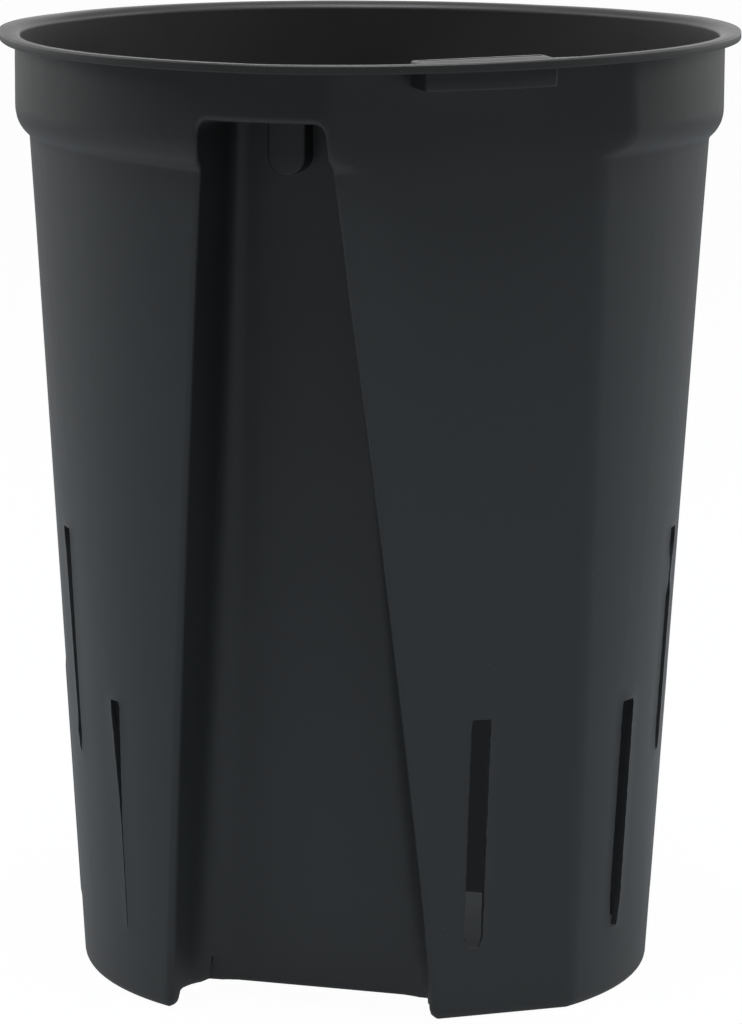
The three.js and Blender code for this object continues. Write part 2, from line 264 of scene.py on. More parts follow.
# %% Columns of one lobe, as azimuths at a height
EDGE_STEPS = [0.0, 0.35, 0.75, 1.2, 1.7, 2.3, 3.1, 4.4]
CREASE_STEPS = [-3.2, -1.9, -1.0, -0.3, 0.4, 1.1, 2.0, 3.3]
NEAR_CREASE_STEPS = [-0.9, -0.3, 0.3, 0.9, 1.7]
NEAR_CREASE_REST = 5.6
LIP = 0.55
COUNT_HEIGHT = 225.0
WIDEST_GAP = 4.2


def slots_of(lobe):
    first = CHANNEL_AZIMUTHS[lobe] + FIRST_SLOT
    lower = [(first + SLOT_PITCH * i, LOWER_SLOTS) for i in range(4)]
    upper = [(first + SLOT_PITCH * (i + 0.5), UPPER_SLOTS) for i in range(3) if lobe or i]
    return sorted(lower + upper)


def lobe_columns(lobe, z):
    """The pinned azimuths of a lobe, each with the slot side that it bounds, if any."""
    left = mouth_edge(CHANNEL_AZIMUTHS[lobe], 1.0, z)[0]
    right = mouth_edge(CHANNEL_AZIMUTHS[1 - lobe] + 360.0 * lobe, -1.0, z)[0]
    per_mm = math.degrees(1.0) / float(lobe_radius((left + right) / 2.0, z))
    pins = [(left + step * per_mm, None) for step in EDGE_STEPS]
    stops = [(azimuth, k) for k, (azimuth, _) in enumerate(slots_of(lobe))]
    if lobe == 0:
        half = math.degrees(math.acos(float(panel_distance(z) / outer_radius(z))))
        stops.append((PANEL_AZIMUTH + half, CREASE_STEPS))
        stops.append((max(PANEL_AZIMUTH - half, left + NEAR_CREASE_REST * per_mm), NEAR_CREASE_STEPS))
    for azimuth, kind in sorted(stops, key=lambda stop: stop[0]):
        if isinstance(kind, list):
            pins += [(azimuth + step * per_mm, None) for step in kind]
        else:
            half = SLOT_WIDTH / 2.0
            pins += [(azimuth - (half + LIP) * per_mm, None), (azimuth - half * per_mm, (kind, -1)),
                     (azimuth + half * per_mm, (kind, 1)), (azimuth + (half + LIP) * per_mm, None)]
    pins += [(right - step * per_mm, None) for step in reversed(EDGE_STEPS)]
    return pins


def filled_columns(lobe, z, counts):
    pins = lobe_columns(lobe, z)
    azimuths, marks = [], []
    for i, (azimuth, mark) in enumerate(pins):
        azimuths.append(azimuth)
        marks.append(mark)
        if i + 1 < len(pins):
            for k in range(counts[i]):
                azimuths.append(azimuth + (pins[i + 1][0] - azimuth) * (k + 1) / (counts[i] + 1))
                marks.append(None)
    return azimuths, marks


def fill_counts(lobe):
    counts = []
    pins = lobe_columns(lobe, COUNT_HEIGHT)
    for (a, mark_a), (b, mark_b) in zip(pins, pins[1:]):
        gap = math.radians(b - a) * body_radius(COUNT_HEIGHT)
        inside_slot = mark_a is not None and mark_b is not None
        counts.append(1 if inside_slot else max(0, int(gap / WIDEST_GAP)))
    return counts


COUNTS = [fill_counts(0), fill_counts(1)]

# %% Columns of one channel, as steps along its sides and its back
SIDE_STEPS = [0.35, 0.75, 1.2, 1.7, 2.3, 3.1, 4.1, 5.0]
SIDE_REST = [0.0, 0.12, 0.26, 0.42, 0.58, 0.68, 0.76, 0.84, 0.92, 1.0]
BACK_SHARES = [0.03, 0.06, 0.1, 0.14, 0.19, 0.26, 0.34, 0.42, 0.5, 0.58, 0.66, 0.74, 0.81, 0.86, 0.9, 0.94,
               0.97]
FOOTED = len(SIDE_STEPS)

# %% One row of the grid at a height, on the lobes
CORNER_PULL = 3.0


def distances_from_edges(azimuths, z):
    mm = math.radians(1.0) * float(lobe_radius(azimuths[len(azimuths) // 2], z))
    return (azimuths - azimuths[0]) * mm, (azimuths[-1] - azimuths) * mm


def lobe_row(lobe, z, inset=0.0, lateral=0.0):
    """Points of a lobe at a height, moved in by the inset and off its ends by the lateral."""
    azimuths, marks = filled_columns(lobe, z, COUNTS[lobe])
    azimuths = np.array(azimuths)
    mm = math.radians(1.0) * float(lobe_radius(azimuths[len(azimuths) // 2], z))
    for j, mark in enumerate(marks):
        if mark is not None:
            azimuths[j] -= mark[1] * slot_flash(lobe, mark[0], mark[1], float(z)) / mm
    if lateral:
        azimuths = np.clip(azimuths, azimuths[0] + lateral / mm, azimuths[-1] - lateral / mm)
    a = np.radians(azimuths)
    radius = lobe_radius(azimuths, z) - inset
    row = np.stack([radius * np.sin(a), -radius * np.cos(a), np.full_like(a, z)], axis=1)
    if inset:
        from_left, from_right = distances_from_edges(azimuths, z)
        for distance, channel, side, j in ((from_left, CHANNEL_AZIMUTHS[lobe], 1.0, 0),
                                           (from_right, CHANNEL_AZIMUTHS[1 - lobe], -1.0, -1)):
            corner = side_point(channel, side, z, inset, lateral)
            pull = np.exp(-(np.maximum(distance - lateral, 0.0) / CORNER_PULL) ** 2)[:, None]
            row[:, :2] += (corner - row[j, :2]) * pull
    return row


# %% The slots' flash: how far each side of a slot stands in from its straight line
FLASH = {
    (0, 0): {-1: [(20, 0.9), (21, 0.2), (60, 0.0), (84, 0.1)],
             1: [(20, 0.8), (22, 0.1), (50, 0.15), (84, 0.0)]},
    (0, 1): {-1: [(20, 1.4), (24, 0.7), (30, 0.1), (84, 0.0)],
             1: [(20, 1.2), (23, 0.9), (27, 0.2), (84, 0.2)]},
    (0, 2): {-1: [(64, 1.6), (70, 0.4), (108, 0.3), (112, 2.0), (117, 2.2), (120, 0.4), (127, 0.1)],
             1: [(64, 1.4), (70, 0.9), (108, 0.6), (113, 2.6), (118, 1.4), (121, 0.2), (127, 0.1)]},
    (1, 5): {-1: [(64, 2.6), (70, 1.4), (74, 2.3), (100, 1.6), (122, 0.9), (125, 0.1)],
             1: [(64, 2.7), (69, 1.2), (74, 1.4), (100, 1.0), (124, 0.5), (127, 0.1)]},
    (1, 6): {-1: [(20, 2.9), (49, 2.9), (60, 2.3), (84, 0.6)],
             1: [(20, 2.9), (49, 2.8), (66, 1.9), (84, 1.0)]},
}
NO_FLASH = [(0, 0.0), (300, 0.0)]
COARSE_WOBBLE = 0.10
FINE_WOBBLE = 0.06
END_ROUND = (1.6, 0.35)
MOST_FLASH = 2.95
LEAST_FLASH = 0.05


def slot_flash(lobe, k, side, z):
    """How far one side of a slot stands in: its own flash, a wobble and a rounded end."""
    coarse = COARSE_WOBBLE * math.sin(1.7 * z + 9.1 * k + 4.3 * lobe + side)
    fine = FINE_WOBBLE * math.sin(3.9 * z + 2.3 * k - side)
    wobble = coarse + fine
    span = slots_of(lobe)[k][1]
    end = max(0.0, 1.0 - min(abs(z - span[0]), abs(z - span[1])) / END_ROUND[0])
    shape = FLASH.get((lobe, k), {}).get(side, NO_FLASH)
    held = float(np.interp(z, [s[0] for s in shape], [s[1] for s in shape]))
    return min(held + wobble + END_ROUND[1] * end, MOST_FLASH) + LEAST_FLASH


# %% One row of the grid in a channel
def side_frame(channel, side, z):
    """A channel's side wall from above: its outer edge, two directions and length."""
    back, centre, back_half, flare = channel_shape(z)
    edge = np.array(mouth_edge(channel, side, z)[1:])
    corner = np.array([centre + side * back_half, back])
    length = float(np.hypot(*(corner - edge)))
    inward = (corner - edge) / length
    aside = np.array([-inward[1], inward[0]])
    if aside[0] * side < 0:
        aside = -aside
    return edge, inward, aside, length


def side_point(channel, side, z, depth, lateral=0.0):
    edge, inward, aside, _ = side_frame(channel, side, z)
    point = edge + inward * depth + aside * lateral
    return np.array(spun(point[0], point[1], channel))


def channel_points(channel, z, lateral=0.0):
    """Points down one side of a channel, across its back and up its other side."""
    ends = {}
    for side in (-1.0, 1.0):
        edge, inward, aside, length = side_frame(channel, side, z)
        depths = SIDE_STEPS + [FOOT_WIDTH + (length - FOOT_WIDTH) * share for share in SIDE_REST]
        depths = [max(d, FOOT_WIDTH + lateral) if lateral else d for d in depths]
        ends[side] = [edge + inward * d + aside * lateral for d in depths]
        if lateral:
            ends[side] = [point - np.array([0.0, lateral]) * share ** 3
                          for point, share in zip(ends[side], [0.0] * FOOTED + SIDE_REST)]
    left, right = ends[-1.0], ends[1.0]
    back = [left[-1] + (right[-1] - left[-1]) * share for share in BACK_SHARES]
    return np.array([[*spun(u, v, channel), z] for u, v in left + back + right[::-1]])


def foot_end(channel, z, inset):
    """Below the floor only the end faces of the feet are left of a channel's sides."""
    row = channel_points(channel, FLOOR_UNDERSIDE)
    last = len(row) - 1
    for side, place in ((-1.0, lambda j: j), (1.0, lambda j: last - j)):
        for j in range(FOOTED):
            row[place(j), :2] = side_point(channel, side, z, max(SIDE_STEPS[j], inset))
            row[place(j), 2] = z
    return row


def spun(u, v, azimuth):
    """x and y of a distance across an azimuth's direction and one out along it."""
    a = math.radians(azimuth)
    return u * math.cos(a) + v * math.sin(a), u * math.sin(a) - v * math.cos(a)


# %% Rows where the channel turns into its ceiling and comes out on the collar
OVER_DEPTH = 20.0
OVER_SPREAD = 6.0
HEAD_RAMP = 3.0
HEAD_START = 1.2


def over_mouth(channel, z):
    ends = [mouth_edge(channel, side, CHANNEL_CEILING)[0] for side in (-1.0, 1.0)]
    per_mm = math.degrees(1.0) / COLLAR_RADIUS
    depths = np.array(SIDE_STEPS + [FOOT_WIDTH + OVER_DEPTH * share for share in SIDE_REST])
    steps = OVER_SPREAD * (1.0 - np.exp(-depths / OVER_SPREAD)) * per_mm
    left = ends[0] + steps
    right = ends[1] - steps
    back = left[-1] + (right[-1] - left[-1]) * np.array(BACK_SHARES)
    a = np.radians(np.concatenate([left, back, right[::-1]]))
    return np.stack([COLLAR_RADIUS * np.sin(a), -COLLAR_RADIUS * np.cos(a), np.full_like(a, z)], axis=1)


def joined(make_lobe, make_channel):
    """One whole row: a lobe, the channel after it, the other lobe and the other channel."""
    parts = []
    for lobe in (0, 1):
        parts += [make_lobe(lobe), make_channel(CHANNEL_AZIMUTHS[1 - lobe])]
    return np.concatenate(parts)


def head_lobe(lobe, share, rise):
    row = lobe_row(lobe, CHANNEL_CEILING)
    azimuths = np.array(filled_columns(lobe, CHANNEL_CEILING, COUNTS[lobe])[0])
    from_left, from_right = distances_from_edges(azimuths, CHANNEL_CEILING)
    reach = np.clip(np.minimum(from_left, from_right) / HEAD_RAMP, 0.0, 1.0)
    start = HEAD_START * share * reach
    top = SKIN_TOP - CHANNEL_CEILING
    row[:, 2] = CHANNEL_CEILING + start + (top - start) * rise / top
    return row


# %% The rear channel's head lies lower, so the rows sink towards it
SINK_FROM = 222.0
SINK_ANGLES = (35.0, 15.0)


def sunk_to_rear_head(p):
    off = np.degrees(np.arctan2(p[..., 0], -p[..., 1])) - CHANNEL_AZIMUTHS[1]
    off = np.abs((off + 180.0) % 360.0 - 180.0)
    near = np.interp(off, SINK_ANGLES[::-1], (1.0, 0.0))
    rise = np.interp(p[..., 2], (SINK_FROM, CHANNEL_CEILING, SKIN_TOP), (0.0, 1.0, 0.0))
    lower = p.copy()
    lower[..., 2] -= REAR_CHANNEL_DROP * near * near * (3.0 - 2.0 * near) * rise
    return lower


# %% The whole grid: out from the floor's edge, down the foot's inside, across its sole and up the outside
floor_edge_insets = (3.2, 2.4, 1.8, 1.3, 0.9, 0.5, 0.2)
foot_inside_heights = (4.5, 4.2, 3.7, 3.0, 2.1, 1.3, 0.8, 0.4, 0.15, 0.0)
sole_insets = (4.7, 4.3, 3.8, 3.1, 2.3, 1.7, 1.2, 0.8, 0.45, 0.2)
rows = []
for inset in floor_edge_insets:
    rows.append(joined(lambda lobe: lobe_row(lobe, FLOOR_UNDERSIDE, FOOT_WIDTH + inset, inset),
                       lambda channel: channel_points(channel, FLOOR_UNDERSIDE, inset)))
for z in foot_inside_heights:
    rows.append(joined(lambda lobe: lobe_row(lobe, z, FOOT_WIDTH),
                       lambda channel: foot_end(channel, z, FOOT_WIDTH)))
for inset in sole_insets:
    rows.append(joined(lambda lobe: lobe_row(lobe, 0.0, inset),
                       lambda channel: foot_end(channel, 0.0, inset)))
first_outside_row = len(rows)
for z in heights:
    if z < FLOOR_UNDERSIDE:
        rows.append(joined(lambda lobe: lobe_row(lobe, z), lambda channel: foot_end(channel, z, 0.0)))
    else:
        rows.append(joined(lambda lobe: lobe_row(lobe, z), lambda channel: channel_points(channel, z)))
for share in ceiling_shares:
    rows.append(joined(lambda lobe: head_lobe(lobe, share, 0.0),
                       lambda channel: channel_points(channel, CHANNEL_CEILING) * (1.0 - share)
                       + over_mouth(channel, CHANNEL_CEILING) * share))
for rise in over_heights + [SKIN_TOP - CHANNEL_CEILING]:
    rows.append(joined(lambda lobe: head_lobe(lobe, 1.0, rise),
                       lambda channel: over_mouth(channel, CHANNEL_CEILING + rise)))

# %% The grid, pressed onto the mould
grid = np.array(rows)
print("grid:", grid.shape)
outer = pressed_onto_mould(sunk_to_rear_head(grid))
print("left off the mould, mm:", float(np.abs(pot_field(outer)).max()))

# %% Which columns bound each slot
SLOT_LIP = 0.22

column_marks = []
for lobe in (0, 1):
    marks = filled_columns(lobe, COUNT_HEIGHT, COUNTS[lobe])[1]
    column_marks += [(lobe, mark[0], mark[1]) if mark else None for mark in marks]
    column_marks += [None] * (len(channel_points(CHANNEL_AZIMUTHS[1 - lobe], COUNT_HEIGHT)))
row_count, column_count = outer.shape[:2]
open_cells = np.zeros((row_count, column_count), dtype=bool)
slope = slope_of(outer)
outward = slope / np.linalg.norm(slope, axis=-1, keepdims=True)
lifted = np.zeros((row_count, column_count))
row_heights = [None] * first_outside_row + heights
for j, mark in enumerate(column_marks):
    if mark is None or mark[2] != -1:
        continue
    lobe, k, _ = mark
    far = column_marks.index((lobe, k, 1))
    low, high = slots_of(lobe)[k][1]
    i_low, i_high = row_heights.index(low), row_heights.index(high)
    open_cells[i_low:i_high, j:far] = True
    lifted[i_low:i_high + 1, [j, far]] = SLOT_LIP
    lifted[i_low, j:far + 1] = SLOT_LIP
    lifted[i_high, j:far + 1] = SLOT_LIP
print("open cells:", int(open_cells.sum()))

# %% The two skins, and the walls that close them at every open edge
inner = outer - outward * WALL
outer = outer + outward * lifted[..., None]
points = np.concatenate([outer.reshape(-1, 3), inner.reshape(-1, 3)])
below = row_count * column_count
i, j = np.meshgrid(np.arange(row_count - 1), np.arange(column_count), indexing="ij")
keep = ~open_cells[:-1]
i, j = i[keep], j[keep]
following = (j + 1) % column_count
outside = np.stack([i * column_count + j, i * column_count + following,
                    (i + 1) * column_count + following, (i + 1) * column_count + j], axis=1)
inside = outside[:, ::-1] + below
edges = np.concatenate([outside[:, [k, (k + 1) % 4]] for k in range(4)])
codes = edges[:, 0] * (2 * below) + edges[:, 1]
reverse = edges[:, 1] * (2 * below) + edges[:, 0]
near, far = edges[~np.isin(codes, reverse)].T
closing = np.stack([far, near, near + below, far + below], axis=1)
faces = np.concatenate([outside, inside, closing])


def placed(name, data):
    obj = bpy.data.objects.new(name, data)
    bpy.context.collection.objects.link(obj)
    return obj


def mesh_from(name, points_mm, faces, weld=0.0):
    """A smooth-shaded object from points in millimetres, with near points welded on request."""
    mesh = bpy.data.meshes.new(name)
    mesh.from_pydata((np.asarray(points_mm) * MM).tolist(), [], [list(map(int, f)) for f in faces])
    mesh.update()
    obj = placed(name, mesh)
    if weld:
        bm = bmesh.new()
        bm.from_mesh(mesh)
        bmesh.ops.remove_doubles(bm, verts=bm.verts, dist=weld * MM)
        bmesh.ops.dissolve_degenerate(bm, edges=bm.edges, dist=0.5 * weld * MM)
        bm.to_mesh(mesh)
        bm.free()
    mesh.shade_smooth()
    return obj


# %% The wall as an object
pot_wall = mesh_from("pot_wall", points, faces, weld=0.01)
pot_wall.data.set_sharp_from_angle(angle=math.radians(40.0))
print("pot wall:", len(pot_wall.data.vertices), "points,", len(pot_wall.data.polygons), "faces")

# %% [markdown]
# ## Nodes written as sums
# Geometry Nodes and shader nodes are both trees of sockets. One small class wraps a socket, so that an
# expression such as 1 - mask adds its Math node by itself, and one method adds any other node.

# %% A wire: one socket of a node tree
class Wire:
    def __init__(self, tree, socket=None):
        self.tree = tree
        self.socket = socket

    def node(self, kind, settings, values, output=0):
        """Adds a node. Its settings come first, then the values or wires of its sockets."""
        made = self.tree.nodes.new(kind)
        for name, value in settings.items():
            if name == "stops":
                self.fill_ramp(made.color_ramp, value)
            else:
                setattr(made, name, value)
        for key, value in values.items():
            for one in value if isinstance(value, list) else [value]:
                if isinstance(one, Wire):
                    self.tree.links.new(one.socket, made.inputs[key])
                else:
                    made.inputs[key].default_value = one
        return Wire(self.tree, made.outputs[output])

    @staticmethod
    def fill_ramp(ramp, stops):
        while len(ramp.elements) < len(stops):
            ramp.elements.new(0.5)
        for element, (position, grey) in zip(ramp.elements, stops):
            element.position = position
            element.color = (grey, grey, grey, 1.0)

    def maths(self, operation, *values):
        return self.node("ShaderNodeMath", {"operation": operation}, dict(enumerate(values)))

    def __add__(self, other):
        return self.maths("ADD", self, other)

    def __sub__(self, other):
        return self.maths("SUBTRACT", self, other)

    def __rsub__(self, other):
        return self.maths("SUBTRACT", other, self)

    def __mul__(self, other):
        return self.maths("MULTIPLY", self, other)

    __radd__ = __add__
    __rmul__ = __mul__


# %% A Geometry Nodes tree with named sizes
def geometry_tree(name, sizes):
    """A new tree whose named sizes are inputs. Gives back its inputs as wires."""
    tree = bpy.data.node_groups.new(name, "GeometryNodeTree")
    tree.interface.new_socket("Mesh", in_out="INPUT", socket_type="NodeSocketGeometry")
    for key, value in sizes.items():
        kind = "NodeSocketInt" if isinstance(value, int) else "NodeSocketFloat"
        tree.interface.new_socket(key, in_out="INPUT", socket_type=kind)
    tree.interface.new_socket("Material", in_out="INPUT", socket_type="NodeSocketMaterial")
    tree.interface.new_socket("Mesh", in_out="OUTPUT", socket_type="NodeSocketGeometry")
    entry = tree.nodes.new("NodeGroupInput")
    return {socket.name: Wire(tree, socket) for socket in entry.outputs if socket.name}


def close_tree(wires, geometry):
    """Ends a tree: its instances made real and its material set."""
    realised = geometry.node("GeometryNodeRealizeInstances", {}, {0: geometry})
    dressed = geometry.node("GeometryNodeSetMaterial", {},
                            {"Geometry": realised, "Material": wires["Material"]})
    leave = geometry.tree.nodes.new("NodeGroupOutput")
    geometry.tree.links.new(dressed.socket, leave.inputs[0])


def settled(piece, modifier):
    """Makes what a modifier shows the piece's own plain mesh."""
    graph = bpy.context.evaluated_depsgraph_get()
    result = bpy.data.meshes.new_from_object(piece.evaluated_get(graph), depsgraph=graph)
    piece.modifiers.remove(modifier)
    piece.data = result


def baked(name, start, wires, sizes):
    """Runs a tree on a start mesh and keeps the result."""
    piece = placed(name, start)
    modifier = piece.modifiers.new("made by nodes", "NODES")
    modifier.node_group = wires["Mesh"].tree
    values = dict(sizes, Material=plastic)
    for item in modifier.node_group.interface.items_tree:
        if item.in_out == "INPUT" and item.name in values:
            modifier[item.identifier] = values[item.name]
    settled(piece, modifier)
    piece.data.name = name
    return piece


# %% [markdown]
# ## The plastic
# The pot is black polypropylene with a fine satin grain from the mould. In black plastic nearly all that is
# seen is gloss, so the colour stays close to black. Painted light is laid into it by height: the collar is
# darker, as painted shade under the rim's lip, and the wall below the ledge is lighter and a little bluer,
# as painted cool light from the floor. The rest of the detail goes into roughness and bump: a fine grain, a
# slow unevenness of the mould, cloudy patches where the melt flowed, and a few specks of pale dust.

# %% The shader and short ways to its patterns
plastic = bpy.data.materials.new("black_polypropylene")
plastic.use_nodes = True
shader = plastic.node_tree.nodes["Principled BSDF"]
shader.inputs["IOR"].default_value = 1.49
shader.inputs["Specular IOR Level"].default_value = 0.5
place = Wire(plastic.node_tree).node("ShaderNodeTexCoord", {}, {}, output="Object")


def noise(scale, detail, roughness=0.5):
    values = {"Vector": place, "Scale": scale, "Detail": detail, "Roughness": roughness}
    return place.node("ShaderNodeTexNoise", {}, values)


def ramp(wire, *stops):
    return wire.node("ShaderNodeValToRGB", {"stops": stops}, {"Fac": wire})


def mixed(share, a, b):
    return share.node("ShaderNodeMix", {"data_type": "RGBA"}, {0: share, 6: a, 7: b}, output=2)


# %% The finish of the black plastic, with painted shade on the collar and painted light on the wall
# The collar colours are darker as painted shade under the rim's lip; the wall colours are lighter and bluer
# as painted cool light from the floor.
PAINTED_SHADE_COLLAR_DARK = (0.0242, 0.0244, 0.0242, 1.0)
PAINTED_SHADE_COLLAR_LIGHT = (0.0277, 0.0280, 0.0278, 1.0)
PAINTED_LIGHT_WALL_DARK = (0.0305, 0.0350, 0.0382, 1.0)
PAINTED_LIGHT_WALL_LIGHT = (0.0345, 0.0392, 0.0425, 1.0)
DUST = (0.11, 0.11, 0.105, 1.0)
GRAIN_LIGHT = (0.042, 0.044, 0.045, 1.0)

clouds = ramp(noise(16.0, 3.0), (0.3, 0.0), (0.72, 1.0))
grain = noise(1900.0, 2.0, 0.6)
height = place.node("ShaderNodeSeparateXYZ", {}, {0: place}, output="Z")
# Painted light by height: below the ledge the wall takes the lighter, bluer painted light, and above it the
# collar keeps the darker painted shade.
painted_light_share = ramp(height * 4.0, (0.880, 1.0), (0.955, 0.0))
colour = mixed(painted_light_share, mixed(clouds, PAINTED_SHADE_COLLAR_DARK, PAINTED_SHADE_COLLAR_LIGHT), mixed(clouds, PAINTED_LIGHT_WALL_DARK, PAINTED_LIGHT_WALL_LIGHT))
cells = {"Vector": place, "Scale": 150.0, "Randomness": 1.0}
speck = ramp(place.node("ShaderNodeTexVoronoi", {}, cells, output="Distance"), (0.022, 1.0), (0.036, 0.0))
chosen = ramp(noise(75.0, 1.0), (0.60, 0.0), (0.64, 1.0))
colour = mixed(speck * chosen, colour, DUST)
grain_colour = mixed(ramp(grain, (0.35, 0.0), (0.75, 0.35)), colour, GRAIN_LIGHT)
plastic.node_tree.links.new(grain_colour.socket, shader.inputs["Base Color"])
satin = 0.40 + 0.07 * clouds + 0.10 * grain
plastic.node_tree.links.new(satin.socket, shader.inputs["Roughness"])
slow = noise(55.0, 2.0)
bump = place.node("ShaderNodeBump", {}, {"Strength": 0.35, "Distance": 0.00006, "Height": grain})
bump = place.node("ShaderNodeBump", {},
                  {"Strength": 0.5, "Distance": 0.0004, "Height": slow, "Normal": bump})
plastic.node_tree.links.new(bump.socket, shader.inputs["Normal"])
pot_wall.data.materials.append(plastic)
print("plastic:", len(plastic.node_tree.nodes), "nodes")

# %% [markdown]
# ## Rim
# The rim is the strongest part of the pot: a flat ring turned outwards. It follows a rule exactly, one
# profile swept round a circle, so Geometry Nodes sweep it. Over the flat label panel a thinner web reaches
# in to the wall, and a boss at full height carries the slit for the label.

# %% The rim's profile: two small rolls outside, and a broad one on the way into the pot
RING_RADIUS = 97.0
RIM_INSIDE = COLLAR_RADIUS - WALL
RIM_LOWER_ROLL = 0.5
RIM_UPPER_ROLL = 0.6
RIM_INNER_ROLL = 2.1
RIM_INNER_WIDTH = 3.6
RIM_INNER_CENTRE = 3.58
RIM_FLAT_MIDDLE = 98.6
PROUD = 0.02


def quarter(centre, radius, first, steps=5, stretch=1.0):
    """A quarter turn round a centre, from the first angle on, made wider by the stretch."""
    turns = [math.radians(first + 90.0 * k / steps) for k in range(steps + 1)]
    return [(centre[0] + stretch * radius * math.cos(a), centre[1] + radius * math.sin(a)) for a in turns]


profile = [(RIM_INSIDE - PROUD, RIM_UNDERSIDE)]
profile += [(COLLAR_RADIUS + share * (RIM_RADIUS - RIM_LOWER_ROLL - COLLAR_RADIUS), RIM_UNDERSIDE)
            for share in (0.1, 0.5)]
profile += quarter((RIM_RADIUS - RIM_LOWER_ROLL, RIM_UNDERSIDE + RIM_LOWER_ROLL), RIM_LOWER_ROLL, -90.0)
profile += quarter((RIM_RADIUS - RIM_UPPER_ROLL, RIM_TOP - RIM_UPPER_ROLL), RIM_UPPER_ROLL, 0.0)
profile += [(RIM_FLAT_MIDDLE, RIM_TOP)]
profile += quarter((RIM_INSIDE + RIM_INNER_CENTRE, RIM_TOP - RIM_INNER_ROLL), RIM_INNER_ROLL, 90.0, 9,
                   stretch=RIM_INNER_WIDTH / RIM_INNER_ROLL)


def wire_mesh(name, points, edges):
    mesh = bpy.data.meshes.new(name)
    mesh.from_pydata((np.array(points) * MM).tolist(), edges, [])
    return mesh


def loop(first, count):
    """Edges that join points in a closed loop."""
    return [(first + i, first + (i + 1) % count) for i in range(count)]


def tube_faces(rings, size):
    """Faces of a closed tube: between its rings of equally many points, and over both ends."""
    sides = [(r * size + k, r * size + (k + 1) % size, (r + 1) * size + (k + 1) % size, (r + 1) * size + k)
             for r in range(rings - 1) for k in range(size)]
    return sides + [tuple(reversed(range(size))), tuple(range((rings - 1) * size, rings * size))]


ring_start = wire_mesh("rim_profile", [(r - RING_RADIUS, -z, 0.0) for r, z in profile],
                       loop(0, len(profile)))

# %% The ring as a sweep
ring_sizes = {"Ring radius": RING_RADIUS * MM, "Steps": 360}
ring = geometry_tree("swept_ring", ring_sizes)
circle = ring["Mesh"].node("GeometryNodeCurvePrimitiveCircle", {"mode": "RADIUS"},
                           {"Resolution": ring["Steps"], "Radius": ring["Ring radius"]})
outline = ring["Mesh"].node("GeometryNodeMeshToCurve", {}, {"Mesh": ring["Mesh"]})
swept = circle.node("GeometryNodeCurveToMesh", {}, {"Curve": circle, "Profile Curve": outline})
close_tree(ring, circle.node("GeometryNodeFlipFaces", {}, {"Mesh": swept}))
rim = baked("rim_ring", ring_start, ring, ring_sizes)
print("rim:", len(rim.data.polygons), "faces, top at", max(v.co.z for v in rim.data.vertices))

# %% Prisms over a plan outline, and joins and cuts with them
POCKET_OFFSET = -1.1
POCKET_HALF = 17.8
POCKET_RADIUS = RIM_RADIUS - 1.3
POCKET_SKIN = 1.0
LIP_DISTANCE = float(panel_distance(RIM_UNDERSIDE)) - WALL


def prism(name, outline, low, high):
    """A solid over a plan outline given as (u, v) in the label panel's own directions."""
    plan = [spun(u, v, PANEL_AZIMUTH) for u, v in reversed(outline)]
    count = len(plan)
    faces = [tuple(reversed(range(count))), tuple(range(count, 2 * count))]
    faces += [(k, (k + 1) % count, count + (k + 1) % count, count + k) for k in range(count)]
    return mesh_from(name, [(x, y, low) for x, y in plan] + [(x, y, high) for x, y in plan], faces)


def arc_outline(half, near, radius, centre=0.0, steps=24):
    """A plan outline with a straight side near the axis and an arc of the pot's own circle outside."""
    across = [centre + half * (1.0 - 2.0 * k / steps) for k in range(steps + 1)]
    arc = [(u, math.sqrt(radius ** 2 - u ** 2)) for u in across]
    return [(centre - half, near), (centre + half, near)] + arc


def bevelled(block, chosen, width_mm, segments):
    """Rolls the edges whose middle the test picks."""
    work = bmesh.new()
    work.from_mesh(block.data)
    work.normal_update()
    picked = [edge for edge in work.edges if chosen(edge)]
    bmesh.ops.bevel(work, geom=picked, offset=width_mm * MM, segments=segments, profile=0.5, affect="EDGES")
    work.to_mesh(block.data)
    work.free()


def carved(piece, tool, operation):
    """Joins a tool to a piece or cuts it out of the piece, and removes the tool."""
    modifier = piece.modifiers.new("shape", "BOOLEAN")
    modifier.operation = operation
    modifier.solver = "EXACT"
    modifier.object = tool
    settled(piece, modifier)
    bpy.data.objects.remove(tool)


# %% The web and the boss over the label panel, and the slit
WEB_RADIUS = RIM_INSIDE + 0.7
WEB_END_GAP = 0.3
WEB_LIFT = 0.03
BOSS_RADIUS = 97.2
BOSS_LIFT = 0.3
BOSS_SINK = 0.04
BOSS_BEVEL = 0.5
SLIT_GAP = 0.5
SLIT_WIDTH = 1.3
CUTTER_OVERHANG = 3.0

web_half = math.sqrt(WEB_RADIUS ** 2 - LIP_DISTANCE ** 2) - WEB_END_GAP
web = prism("rim_web", arc_outline(web_half, LIP_DISTANCE, WEB_RADIUS),
            RIM_UNDERSIDE + WEB_LIFT, RIM_UNDERSIDE + WALL)
boss = prism("pocket_boss", arc_outline(POCKET_HALF, LIP_DISTANCE, BOSS_RADIUS, POCKET_OFFSET),
             RIM_UNDERSIDE + BOSS_LIFT, RIM_TOP - BOSS_SINK)
bevelled(boss, lambda edge: min(vert.co.z for vert in edge.verts) > RIM_TOP * MM - MM, BOSS_BEVEL, 3)
slit_near = float(panel_distance(RIM_UNDERSIDE)) + SLIT_GAP
slit_far = slit_near + SLIT_WIDTH
slit_half = POCKET_HALF - POCKET_SKIN
slit = prism("slit_cutter", [(POCKET_OFFSET - slit_half, slit_near), (POCKET_OFFSET + slit_half, slit_near),
                             (POCKET_OFFSET + slit_half, slit_far), (POCKET_OFFSET - slit_half, slit_far)],
             RIM_UNDERSIDE - CUTTER_OVERHANG, RIM_TOP + CUTTER_OVERHANG)
carved(rim, web, "UNION")
carved(rim, boss, "UNION")
carved(rim, slit, "DIFFERENCE")
